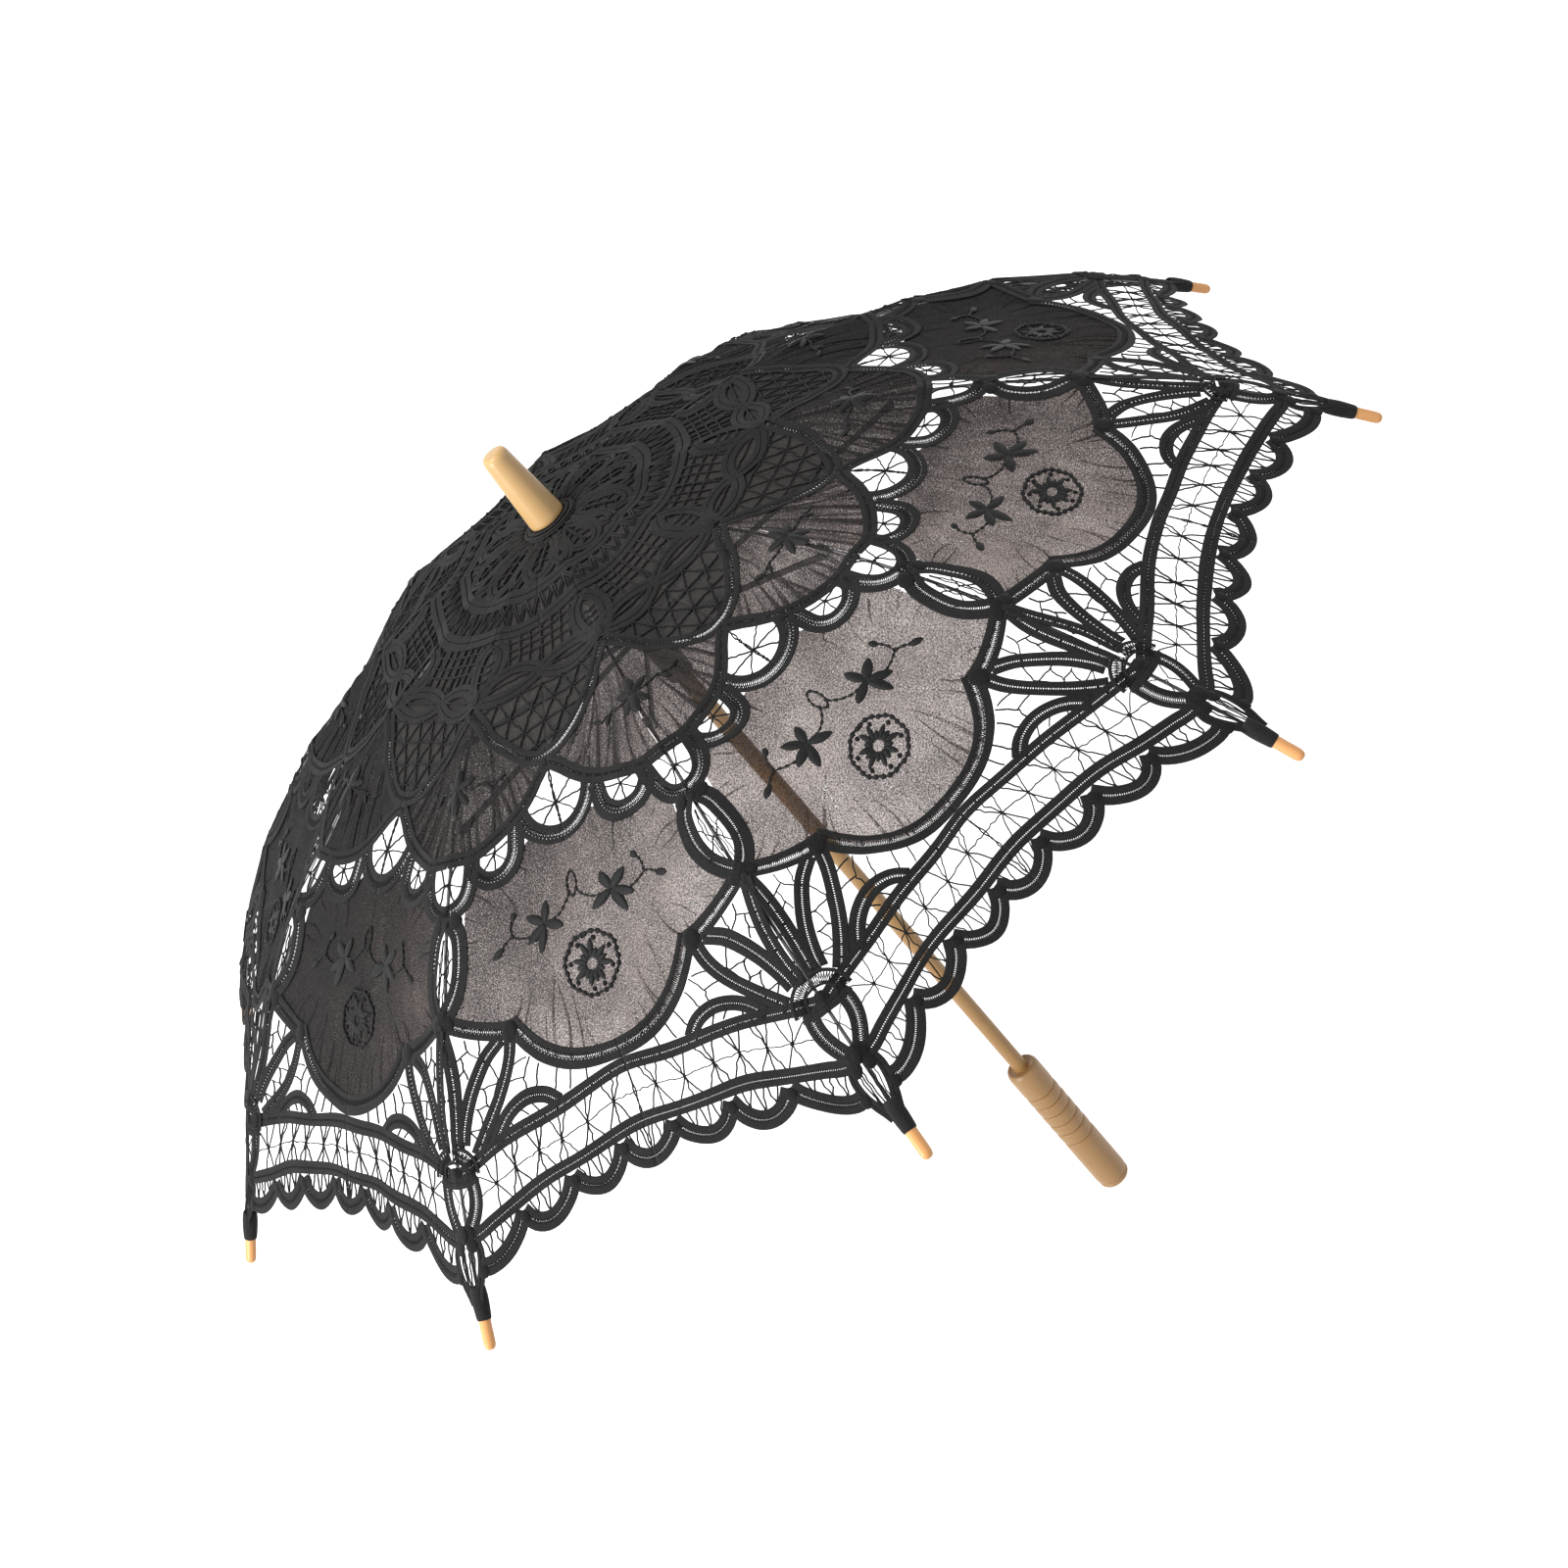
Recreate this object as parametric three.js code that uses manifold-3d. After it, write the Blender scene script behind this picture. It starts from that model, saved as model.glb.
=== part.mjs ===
// A lace parasol: a turned wooden handle, shaft and ferrule, a sliding runner with ten
// stretchers, ten sprung wire ribs with wooden tips, and a ten-sided lace canopy.
// Millimetres, +Z up along the shaft, origin at the centre of the handle's end face.
import * as THREE from 'three';
import Module from 'manifold-3d';
import { mergeVertices } from 'three/addons/utils/BufferGeometryUtils.js';

const wasm = await Module();
wasm.setup();

// Driving dimensions.
const RIBS = 10;
const TIP_RADIUS = 400; // from the shaft's axis to the end of a rib's tip
const TIP_HEIGHT = 417; // the tips' ends above the handle's end
const RIB_FALL = 144; // the parabolic and the quartic part of a rib's fall
const RIB_DROOP = 43.5;
const RIB_WIRE = 0.9; // radius
const HINGE_RADIUS = 11; // the ring of rib hinges, and the ring of stretcher ends
const HINGE_HEIGHT = 603.6;
const CLIP_RADIUS = 195; // where the stretcher's clip sits on the rib
const CLIP_DROP = 4.8; // from the rib's centreline to the stretcher's pivot
const BEND_RADIUS = 200; // where the outer length of a rib straightens
const SHAFT_RADIUS = 5;
const BORE_RADIUS = 5.45;
const SHAFT_BOTTOM = 45;
const SHAFT_TOP = 640;
const HANDLE_LENGTH = 120;
const HANDLE_RADIUS = 11;
const FERRULE_BOTTOM = 608;
const FERRULE_TOP = 656;
const CROWN_BOTTOM = 597;
const CROWN_TOP = 606;
const TIP_LENGTH = 26;
const CANOPY_THICKNESS = 1;
const HEM_RADIUS = 367.5; // along the ribs, at the middle of a panel
const HEM_POINT = 24; // how much further the hem reaches along each rib
const RUNNER_SLEEVE = 38; // the runner's length below its stretcher ring
const CATCH_HEIGHT = 18;

const STEP = (2 * Math.PI) / RIBS;
const HALF_STEP = STEP / 2;

const ribHeight = (r) => {
  const x = r / TIP_RADIUS;
  return TIP_HEIGHT + RIB_FALL * (1 - x ** 2) + RIB_DROOP * (1 - x ** 4);
};
const ribSlope = (r) => {
  const x = r / TIP_RADIUS;
  return (-2 * RIB_FALL * x - 4 * RIB_DROOP * x ** 3) / TIP_RADIUS;
};

// The fold is a mirrored pair of equal links: hinge to pivot, and pivot to runner.
const clipAngle = Math.atan(-ribSlope(CLIP_RADIUS));
const clip = new THREE.Vector2(CLIP_RADIUS, ribHeight(CLIP_RADIUS));
const pivot = new THREE.Vector2(
  clip.x - CLIP_DROP * Math.sin(clipAngle),
  clip.y - CLIP_DROP * Math.cos(clipAngle),
);
const linkLength = Math.hypot(pivot.x - HINGE_RADIUS, HINGE_HEIGHT - pivot.y);
const runnerHeight = 2 * pivot.y - HINGE_HEIGHT;

const wood = (color, roughness) => new THREE.MeshStandardMaterial({ color, roughness });
const materials = {
  handle: wood(0xc9a172, 0.5),
  shaft: wood(0xcba876, 0.5),
  ferrule: wood(0xe6bd7c, 0.4),
  tip: wood(0xc98b52, 0.45),
  runner: wood(0xb98f5d, 0.5),
  crown: new THREE.MeshStandardMaterial({ color: 0x2a2a2c, roughness: 0.5 }),
  wire: new THREE.MeshStandardMaterial({ color: 0x2b2b2d, roughness: 0.4, metalness: 0.8 }),
  bright: new THREE.MeshStandardMaterial({ color: 0xb8b8ba, roughness: 0.3, metalness: 1 }),
  lace: new THREE.MeshStandardMaterial({ color: 0x2c2b2c, roughness: 0.95 }),
};

// Merges shared points, drops triangles with no area and turns the faces outward.
function closed(geometry) {
  const bare = geometry.clone();
  bare.deleteAttribute('normal');
  bare.deleteAttribute('uv');
  const merged = mergeVertices(bare, 1e-4);
  const source = merged.index.array;
  const kept = [];
  for (let i = 0; i < source.length; i += 3) {
    const [a, b, c] = [source[i], source[i + 1], source[i + 2]];
    if (a !== b && b !== c && c !== a) kept.push(a, b, c);
  }
  const corner = [new THREE.Vector3(), new THREE.Vector3(), new THREE.Vector3()];
  let volume = 0;
  for (let i = 0; i < kept.length; i += 3) {
    corner.forEach((v, k) => v.fromBufferAttribute(merged.attributes.position, kept[i + k]));
    volume += corner[0].dot(corner[1].clone().cross(corner[2]));
  }
  if (volume < 0) kept.reverse();
  merged.setIndex(kept);
  return merged;
}

function solid(geometry) {
  const mesh = closed(geometry);
  return new wasm.Manifold(new wasm.Mesh({
    numProp: 3,
    vertProperties: Float32Array.from(mesh.attributes.position.array),
    triVerts: Uint32Array.from(mesh.index.array),
  }));
}

function geometryOf(manifold) {
  const { vertProperties, triVerts } = manifold.getMesh();
  const geometry = new THREE.BufferGeometry();
  geometry.setAttribute('position', new THREE.BufferAttribute(vertProperties, 3));
  geometry.setIndex(new THREE.BufferAttribute(triVerts, 1));
  geometry.computeVertexNormals();
  return geometry;
}

const join = (first, ...rest) => rest.reduce((sum, next) => sum.add(next), first);
const cut = (first, ...rest) => rest.reduce((sum, next) => sum.subtract(next), first);

// A solid of revolution about Z, from points [radius, height].
function turned(profile, sides) {
  const points = profile.map(([r, z]) => new THREE.Vector2(r, z));
  return new THREE.LatheGeometry(points, sides).rotateX(Math.PI / 2);
}

function box([x0, x1], [y0, y1], [z0, z1]) {
  const geometry = new THREE.BoxGeometry(x1 - x0, y1 - y0, z1 - z0);
  return geometry.translate((x0 + x1) / 2, (y0 + y1) / 2, (z0 + z1) / 2);
}

// A short cylinder along Y, as wide as twice its half width, centred on (x, z).
function disc(radius, halfWidth, x, z, sides) {
  return new THREE.CylinderGeometry(radius, radius, 2 * halfWidth, sides).translate(x, 0, z);
}

function polygon(radius, sides) {
  const shape = new THREE.Shape();
  for (let i = 0; i < sides; i += 1) {
    const angle = (i * 2 * Math.PI) / sides;
    const point = [radius * Math.cos(angle), radius * Math.sin(angle)];
    if (i === 0) shape.moveTo(...point);
    else shape.lineTo(...point);
  }
  return shape;
}

// A rib's centreline from radius r0 to radius r1, in the XZ plane.
class RibCurve extends THREE.Curve {
  constructor(r0, r1) {
    super();
    this.span = [r0, r1];
  }

  getPoint(t, target = new THREE.Vector3()) {
    const r = THREE.MathUtils.lerp(...this.span, t);
    return target.set(r, 0, ribHeight(r));
  }
}

function wire(curve, radius, steps) {
  return new THREE.ExtrudeGeometry(polygon(radius, 6), { steps, extrudePath: curve });
}

const parasol = new THREE.Group();

function add(parent, name, geometry, material) {
  const mesh = new THREE.Mesh(closed(geometry), material);
  mesh.name = name;
  parent.add(mesh);
  return mesh;
}

// Handle: a plain lower grip, five barrel rings between grooves, and a beaded top edge.
function handleGeometry() {
  const groove = 0.6;
  const ringLines = [43, 53.4, 62.4, 72, 81.2, 90.4];
  const profile = [[0, 0], [8.2, 0], [10.2, 0.9], [HANDLE_RADIUS, 3.4]];
  profile.push([HANDLE_RADIUS - groove, 4.2], [HANDLE_RADIUS, 5]);
  ringLines.forEach((z, i) => {
    profile.push([HANDLE_RADIUS - 0.15, z - 1], [HANDLE_RADIUS - groove, z]);
    profile.push([HANDLE_RADIUS - 0.15, z + 1]);
    const next = ringLines[i + 1];
    if (next) profile.push([HANDLE_RADIUS + 0.1, (z + next) / 2]);
  });
  profile.push([HANDLE_RADIUS, 114.6], [HANDLE_RADIUS - groove, 115.6]);
  profile.push([HANDLE_RADIUS + 0.1, 117.4], [HANDLE_RADIUS - 0.8, 119.7]);
  profile.push([HANDLE_RADIUS - 1.8, HANDLE_LENGTH], [BORE_RADIUS, HANDLE_LENGTH - 0.8]);
  profile.push([BORE_RADIUS, SHAFT_BOTTOM - 0.4], [0, SHAFT_BOTTOM - 0.4]);
  return turned(profile, 20);
}

// Shaft: a plain dowel with a pocket for the catch.
const runnerBottom = runnerHeight - RUNNER_SLEEVE;
const catchTop = runnerBottom - 0.5;
const catchBottom = catchTop - CATCH_HEIGHT;

function shaftGeometry() {
  const dowel = turned([
    [0, SHAFT_BOTTOM], [SHAFT_RADIUS, SHAFT_BOTTOM], [SHAFT_RADIUS, SHAFT_TOP], [0, SHAFT_TOP],
  ], 20);
  const pocket = box([-3.3, 6], [-1.5, 1.5], [catchBottom - 0.4, catchTop + 0.4]);
  return geometryOf(cut(solid(dowel), solid(pocket.rotateZ(HALF_STEP))));
}

// Catch: a plate that stands out of the shaft below the runner and is pressed in.
function catchGeometry() {
  const side = new THREE.Shape([
    new THREE.Vector2(0, catchBottom),
    new THREE.Vector2(4.7, catchBottom),
    new THREE.Vector2(6.8, catchTop - 4),
    new THREE.Vector2(6.8, catchTop),
    new THREE.Vector2(0, catchTop),
  ]);
  const plate = new THREE.ExtrudeGeometry(side, { depth: 2.2, bevelEnabled: false });
  return plate.rotateX(Math.PI / 2).translate(0, 1.1, 0);
}

function ferruleGeometry() {
  return turned([
    [0, SHAFT_TOP + 0.4], [BORE_RADIUS, SHAFT_TOP + 0.4], [BORE_RADIUS, FERRULE_BOTTOM],
    [10.2, FERRULE_BOTTOM], [10.75, FERRULE_BOTTOM + 0.8], [10.5, FERRULE_BOTTOM + 5],
    [7.9, FERRULE_TOP - 5], [7.5, FERRULE_TOP - 2.4], [6.4, FERRULE_TOP - 0.6],
    [5, FERRULE_TOP], [0, FERRULE_TOP],
  ], 20);
}

// Crown: a grooved collar at the head of the shaft, slotted for the ribs' eyes.
function crownGeometry() {
  const groove = [HINGE_HEIGHT - 0.9, HINGE_HEIGHT + 0.9];
  const collar = turned([
    [BORE_RADIUS, CROWN_BOTTOM], [7.2, CROWN_BOTTOM], [7.8, CROWN_BOTTOM + 1],
    [7.8, CROWN_BOTTOM + 3], [14, CROWN_BOTTOM + 3], [14, groove[0]], [10, groove[0]],
    [10, groove[1]], [14, groove[1]], [14, CROWN_TOP - 0.4], [13.6, CROWN_TOP],
    [BORE_RADIUS, CROWN_TOP], [BORE_RADIUS, CROWN_BOTTOM],
  ], 20);
  const slots = [];
  for (let i = 0; i < RIBS; i += 1) {
    const slot = box([8.4, 16], [-1.3, 1.3], [CROWN_BOTTOM - 1, CROWN_TOP + 1]);
    slots.push(solid(slot.rotateZ(i * STEP)));
  }
  return geometryOf(cut(solid(collar), ...slots));
}

function crownRingGeometry() {
  return new THREE.TorusGeometry(HINGE_RADIUS, 0.5, 5, 3 * RIBS).translate(0, 0, HINGE_HEIGHT);
}

// Runner: a sleeve with a slotted flange for the stretchers and a keyway over the catch.
function runnerGeometry() {
  const flange = [runnerHeight - 4, runnerHeight + 4];
  const sleeve = turned([
    [BORE_RADIUS, runnerBottom], [7.5, runnerBottom], [8.2, runnerBottom + 0.8],
    [8.2, flange[0] - 2], [13, flange[0]], [13.5, flange[0] + 0.6], [13.5, flange[1] - 0.6],
    [13, flange[1]], [BORE_RADIUS, flange[1]], [BORE_RADIUS, runnerBottom],
  ], 20);
  const cuts = [];
  for (let i = 0; i < RIBS; i += 1) {
    const slot = box([8.7, 16], [-1, 1], [flange[0] - 4, flange[1] + 1]);
    cuts.push(solid(slot.rotateZ(i * STEP)));
  }
  const keyway = box([0, 7.1], [-1.4, 1.4], [runnerBottom - 1, flange[1] + 1]);
  cuts.push(solid(keyway.rotateZ(HALF_STEP)));
  return geometryOf(cut(solid(sleeve), ...cuts));
}

// Inner length of a rib: a flat eye on the crown's ring, and the wire out to the clip.
function ribInnerGeometry() {
  const eyeHalf = 0.8;
  const eye = solid(disc(1.9, eyeHalf, HINGE_RADIUS, HINGE_HEIGHT, 10));
  const hole = solid(disc(0.95, 2, HINGE_RADIUS, HINGE_HEIGHT, 8));
  const length = solid(wire(new RibCurve(HINGE_RADIUS + 1.2, BEND_RADIUS - 1.2), RIB_WIRE, 8));
  return geometryOf(cut(join(eye, length), hole));
}

// The tip's axis is straight, so the rib's last stretch runs straight into its bore.
const tipStart = new THREE.Vector2();
for (let r = TIP_RADIUS; tipStart.x === 0; r -= 0.05) {
  const height = ribHeight(r);
  if (Math.hypot(TIP_RADIUS - r, height - TIP_HEIGHT) >= TIP_LENGTH) tipStart.set(r, height);
}
const tipAxis = new THREE.Vector2(TIP_RADIUS, TIP_HEIGHT).sub(tipStart).normalize();

function ribOuterGeometry() {
  const bend = new THREE.CurvePath();
  const boreDepth = 10;
  const end = tipStart.clone().addScaledVector(tipAxis, boreDepth);
  bend.add(new RibCurve(BEND_RADIUS - 0.2, tipStart.x));
  bend.add(new THREE.LineCurve3(
    new THREE.Vector3(tipStart.x, 0, tipStart.y),
    new THREE.Vector3(end.x, 0, end.y),
  ));
  return wire(bend, RIB_WIRE, 12);
}

function tipGeometry() {
  return turned([
    [0, 10.6], [1.35, 10.6], [1.35, 0], [2.6, 0], [2.75, 1], [2.75, TIP_LENGTH - 2.6],
    [2, TIP_LENGTH - 0.7], [0, TIP_LENGTH],
  ], 8);
}

// Clip: an open-topped saddle crimped on the rib with a lug below it. Its X runs outward
// along the rib.
function clipGeometry() {
  const block = solid(box([-3.5, 3.5], [-1.9, 1.9], [-1.9, 0.9]));
  const lug = solid(disc(2, 0.6, 0, -CLIP_DROP, 10));
  const web = solid(box([-2, 2], [-0.6, 0.6], [-CLIP_DROP, -1.5]));
  const hole = solid(disc(1, 2, 0, -CLIP_DROP, 8));
  const channel = join(
    solid(new THREE.CylinderGeometry(1.3, 1.3, 9, 8).rotateZ(Math.PI / 2)),
    solid(box([-4.5, 4.5], [-1.3, 1.3], [0, 2])),
  );
  return geometryOf(cut(join(block, lug, web), hole, channel));
}

// Stretcher: a strip on edge with a fork and pin at the rib and an eye at the runner.
// Its X runs from the pivot to the runner.
function stretcherGeometry() {
  const fork = join(
    solid(disc(1.9, 1.9, 0, 0, 10)),
    solid(box([0, 5.6], [-1.9, 1.9], [-1.6, 1.6])),
  );
  const mouth = solid(box([-3, 3.4], [-0.95, 0.95], [-3, 3]));
  const pin = solid(disc(0.6, 1.4, 0, 0, 6));
  const strip = solid(box([3, linkLength - 1.2], [-0.6, 0.6], [-1.5, 1.5]));
  const eye = solid(disc(1.8, 0.6, linkLength, 0, 10));
  const hole = solid(disc(0.8, 2, linkLength, 0, 6));
  return geometryOf(cut(join(cut(fork, mouth), pin, strip, eye), hole));
}

// Canopy: one thin shell over the ribs. Each panel is straight across from rib to rib,
// and its hem is hollow between the ribs' tips.
function canopyGeometry() {
  const across = [-1, -0.88, -0.55, 0, 0.55, 0.88];
  const rows = [0, 0.03, 0.09, 0.19, 0.3, 0.42, 0.54, 0.66, 0.78, 0.89, 1];
  const holeRadius = 6;
  const clearance = (r) => 2.4 + 1.8 * THREE.MathUtils.smoothstep(r, 340, 375);
  const middle = (r) => {
    const m = ribSlope(r);
    const k = clearance(r) / Math.hypot(1, m);
    const lift = CROWN_TOP + 0.9 - ribHeight(0) - clearance(0);
    return [r - m * k, ribHeight(r) + k + lift * (1 - THREE.MathUtils.smoothstep(r, 14, 34))];
  };
  const place = (panel, t, r, side) => {
    const m = ribSlope(r);
    const k = (side * CANOPY_THICKNESS) / 2 / Math.hypot(1, m);
    const [midR, midZ] = middle(r);
    const out = midR - m * k;
    const turn = (panel + 0.5) * STEP;
    const x = out * Math.cos(HALF_STEP);
    const y = t * out * Math.sin(HALF_STEP);
    return [
      x * Math.cos(turn) - y * Math.sin(turn),
      x * Math.sin(turn) + y * Math.cos(turn),
      midZ + k,
    ];
  };
  const columns = RIBS * across.length;
  const positions = [];
  const index = [];
  for (let column = 0; column < columns; column += 1) {
    const t = across[column % across.length];
    const panel = Math.floor(column / across.length);
    const hem = HEM_RADIUS + HEM_POINT * Math.abs(t) ** 8;
    rows.forEach((row) => {
      const r = THREE.MathUtils.lerp(holeRadius, hem, row);
      positions.push(...place(panel, t, r, 1), ...place(panel, t, r, -1));
    });
  }
  const at = (column, row, under) => ((column % columns) * rows.length + row) * 2 + under;
  const quad = (a, b, c, d) => index.push(a, b, c, a, c, d);
  for (let c = 0; c < columns; c += 1) {
    for (let row = 0; row + 1 < rows.length; row += 1) {
      quad(at(c, row, 0), at(c, row + 1, 0), at(c + 1, row + 1, 0), at(c + 1, row, 0));
      quad(at(c, row, 1), at(c + 1, row, 1), at(c + 1, row + 1, 1), at(c, row + 1, 1));
    }
    const last = rows.length - 1;
    quad(at(c, 0, 1), at(c, 0, 0), at(c + 1, 0, 0), at(c + 1, 0, 1));
    quad(at(c, last, 0), at(c, last, 1), at(c + 1, last, 1), at(c + 1, last, 0));
  }
  const geometry = new THREE.BufferGeometry();
  geometry.setAttribute('position', new THREE.Float32BufferAttribute(positions, 3));
  geometry.setIndex(index);
  return geometry;
}

add(parasol, 'handle', handleGeometry(), materials.handle);
add(parasol, 'shaft', shaftGeometry(), materials.shaft);
add(parasol, 'ferrule', ferruleGeometry(), materials.ferrule);
add(parasol, 'crown', crownGeometry(), materials.crown);
add(parasol, 'crown_ring', crownRingGeometry(), materials.bright);
add(parasol, 'runner', runnerGeometry(), materials.runner);
add(parasol, 'top_catch', catchGeometry(), materials.bright).rotation.z = HALF_STEP;
add(parasol, 'canopy', canopyGeometry(), materials.lace);

const ribInner = ribInnerGeometry();
const ribOuter = ribOuterGeometry();
const ribTip = tipGeometry();
const ribClip = clipGeometry();
const stretcher = stretcherGeometry();
for (let i = 0; i < RIBS; i += 1) {
  const number = String(i + 1).padStart(2, '0');
  const plane = new THREE.Group();
  plane.rotation.z = i * STEP;
  add(plane, `rib_${number}_inner`, ribInner, materials.wire);
  add(plane, `rib_${number}_outer`, ribOuter, materials.wire);
  const tip = add(plane, `rib_${number}_tip`, ribTip, materials.tip);
  tip.position.set(tipStart.x, 0, tipStart.y);
  tip.rotation.y = Math.atan2(tipAxis.x, tipAxis.y);
  const ribClipMesh = add(plane, `rib_${number}_clip`, ribClip, materials.bright);
  ribClipMesh.position.set(clip.x, 0, clip.y);
  ribClipMesh.rotation.y = clipAngle;
  const arm = add(plane, `stretcher_${number}`, stretcher, materials.wire);
  arm.position.set(pivot.x, 0, pivot.y);
  arm.rotation.y = Math.atan2(pivot.y - runnerHeight, HINGE_RADIUS - pivot.x);
  parasol.add(plane);
}

export default parasol;
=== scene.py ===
"""A black lace parasol: ten sprung ribs, a turned wooden handle and a canopy of tape lace,
thread webs, embroidered chiffon and a lined crown. Lengths are in millimetres until they are
placed in the frame, which is in metres."""
import math

import bpy
import numpy as np
from mathutils import Matrix, Vector


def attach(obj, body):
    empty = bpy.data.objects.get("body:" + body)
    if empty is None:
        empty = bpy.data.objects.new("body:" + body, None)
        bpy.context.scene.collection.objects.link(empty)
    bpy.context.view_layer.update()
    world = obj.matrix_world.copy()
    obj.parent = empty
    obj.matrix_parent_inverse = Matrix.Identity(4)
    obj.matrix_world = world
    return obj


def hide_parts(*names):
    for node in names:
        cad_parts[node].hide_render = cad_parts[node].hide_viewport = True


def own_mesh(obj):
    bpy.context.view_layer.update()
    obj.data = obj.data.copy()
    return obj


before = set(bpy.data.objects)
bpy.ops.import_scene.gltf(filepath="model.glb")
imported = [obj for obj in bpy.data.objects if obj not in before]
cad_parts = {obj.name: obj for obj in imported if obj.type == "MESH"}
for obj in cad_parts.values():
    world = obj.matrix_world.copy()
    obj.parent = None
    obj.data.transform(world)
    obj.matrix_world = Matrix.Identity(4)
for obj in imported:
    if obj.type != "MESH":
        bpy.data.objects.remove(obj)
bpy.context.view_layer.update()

MM = 0.001


# -------------------- camera
def make_camera():
    """The camera stands before the parasol, above it, and looks down at it."""
    position = Vector((-0.8839, -0.8549, 1.0607))
    forward = Vector((0.63217, 0.60835, -0.47986))
    right = Vector((0.30000, -0.76319, -0.57232)).normalized()
    up = right.cross(forward).normalized()
    data = bpy.data.cameras.new("camera")
    data.lens = 54.93
    data.sensor_width = 36
    data.clip_end = 60
    camera = bpy.data.objects.new("camera", data)
    bpy.context.scene.collection.objects.link(camera)
    turn = Matrix((right, up, -forward)).transposed().to_4x4()
    camera.matrix_world = Matrix.Translation(position) @ turn
    bpy.context.scene.camera = camera


make_camera()

# -------------------- the parasol's main sizes
RIBS = 10
STEP = 2 * math.pi / RIBS
HALF = STEP / 2
TIP_RADIUS = 400.0
TIP_HEIGHT = 417.0
RIB_FALL = 144.0
RIB_DROOP = 43.5
RIB_WIRE = 0.9
HINGE_RADIUS = 11.0
BEND_RADIUS = 200.0
JOINT_INSET = 1.2  # from the inner wire to the joint at each of its ends
TIP_LENGTH = 26.0
SHAFT_RADIUS = 5.0
SHAFT_SPAN = (45.0, 640.0)
LIFT = 2.0  # the cloth's height above a rib's centreline
SAG = 4.0  # how far the middle of a panel dips between its ribs
PANEL_LENGTH = 420.0
RNG = np.random.default_rng(11)


def rib_height(r):
    """The height of a sprung rib's centreline, r away from the shaft's axis."""
    x = r / TIP_RADIUS
    return TIP_HEIGHT + RIB_FALL * (1 - x**2) + RIB_DROOP * (1 - x**4)


def rib_slope(r):
    x = r / TIP_RADIUS
    return (-2 * RIB_FALL * x - 4 * RIB_DROOP * x**3) / TIP_RADIUS


# -------------------- panel coordinates
# A panel is drawn flat: s runs from the apex down its middle, y from the middle to a rib.
RADII = np.linspace(0, PANEL_LENGTH, 1051)
ARC = np.concatenate(
    [[0], np.cumsum(np.hypot(np.diff(RADII) * math.cos(HALF), np.diff(rib_height(RADII))))]
)


def radius_at(s):
    return np.interp(s, ARC, RADII)


def half_width(s):
    return radius_at(s) * math.sin(HALF)


def rib_s(y):
    """How far down the rib line is y from the panel's middle."""
    return np.interp(np.asarray(y, float) / math.sin(HALF), RADII, ARC)


def by_rib(u, d):
    """The point d to the side of the rib line, at u down it."""
    lean = math.atan((half_width(u + 1) - half_width(u - 1)) / 2)
    return (float(half_width(u)) - d * math.cos(lean), u + d * math.sin(lean))


WAVES = RNG.normal(size=(7, 3))
WAVES /= np.linalg.norm(WAVES, axis=1)[:, None] * RNG.uniform(5, 14, size=(7, 1))
PHASES = RNG.uniform(0, 2 * math.pi, size=(7, 3))
WAVE_SIZE = 0.34


def wobble(points):
    """Small uneven shifts, as handwork has."""
    angle = points @ WAVES.T
    return WAVE_SIZE * np.sin(angle[:, :, None] + PHASES[None]).sum(axis=1)


def place(points, azimuth, side):
    """Panel points (y, s, height) of the half panel on one side of a rib, in metres."""
    y, s, h = points.T
    r = radius_at(s)
    tilt = np.arctan(-rib_slope(r) / math.cos(HALF))
    share = np.clip(y / np.maximum(half_width(s), 1), 0, 1)
    sag = SAG * np.sin(math.pi * np.clip(s / PANEL_LENGTH, 0, 1)) * (1 - share**2)
    lift = LIFT + h - sag
    x = r * math.cos(HALF) + lift * np.sin(tilt)
    z = rib_height(r) + lift * np.cos(tilt)
    across = -side * y
    mid = azimuth + side * HALF
    east, north = math.cos(mid), math.sin(mid)
    world = np.stack([x * east - across * north, x * north + across * east, z], axis=1)
    return (world + wobble(world)) * MM


# -------------------- materials
def new_material(name):
    material = bpy.data.materials.new(name)
    material.use_nodes = True
    tree = material.node_tree
    return material, tree, tree.nodes["Principled BSDF"]


def set_inputs(made, values):
    for key, value in values.items():
        made.inputs[key].default_value = value


def node(tree, kind, values={}, **settings):
    made = tree.nodes.new(kind)
    for key, value in settings.items():
        setattr(made, key, value)
    set_inputs(made, values)
    return made


def object_coords(tree, scale):
    coords = node(tree, "ShaderNodeTexCoord")
    mapping = node(tree, "ShaderNodeMapping", {"Scale": scale})
    tree.links.new(coords.outputs["Object"], mapping.inputs["Vector"])
    return mapping.outputs["Vector"]


def noise(tree, vector, scale, detail=3.0, roughness=0.6):
    values = {"Scale": scale, "Detail": detail, "Roughness": roughness}
    made = node(tree, "ShaderNodeTexNoise", values)
    tree.links.new(vector, made.inputs["Vector"])
    return made.outputs["Fac"]


def ramp(tree, value, stops):
    made = node(tree, "ShaderNodeValToRGB")
    elements = made.color_ramp.elements
    while len(elements) < len(stops):
        elements.new(0.5)
    for element, (position, color) in zip(elements, stops):
        element.position = position
        element.color = (*color, 1)
    tree.links.new(value, made.inputs["Fac"])
    return made.outputs["Color"]


def bump(tree, value, strength, distance):
    made = node(tree, "ShaderNodeBump", {"Strength": strength, "Distance": distance})
    tree.links.new(value, made.inputs["Height"])
    return made.outputs["Normal"]


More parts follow.
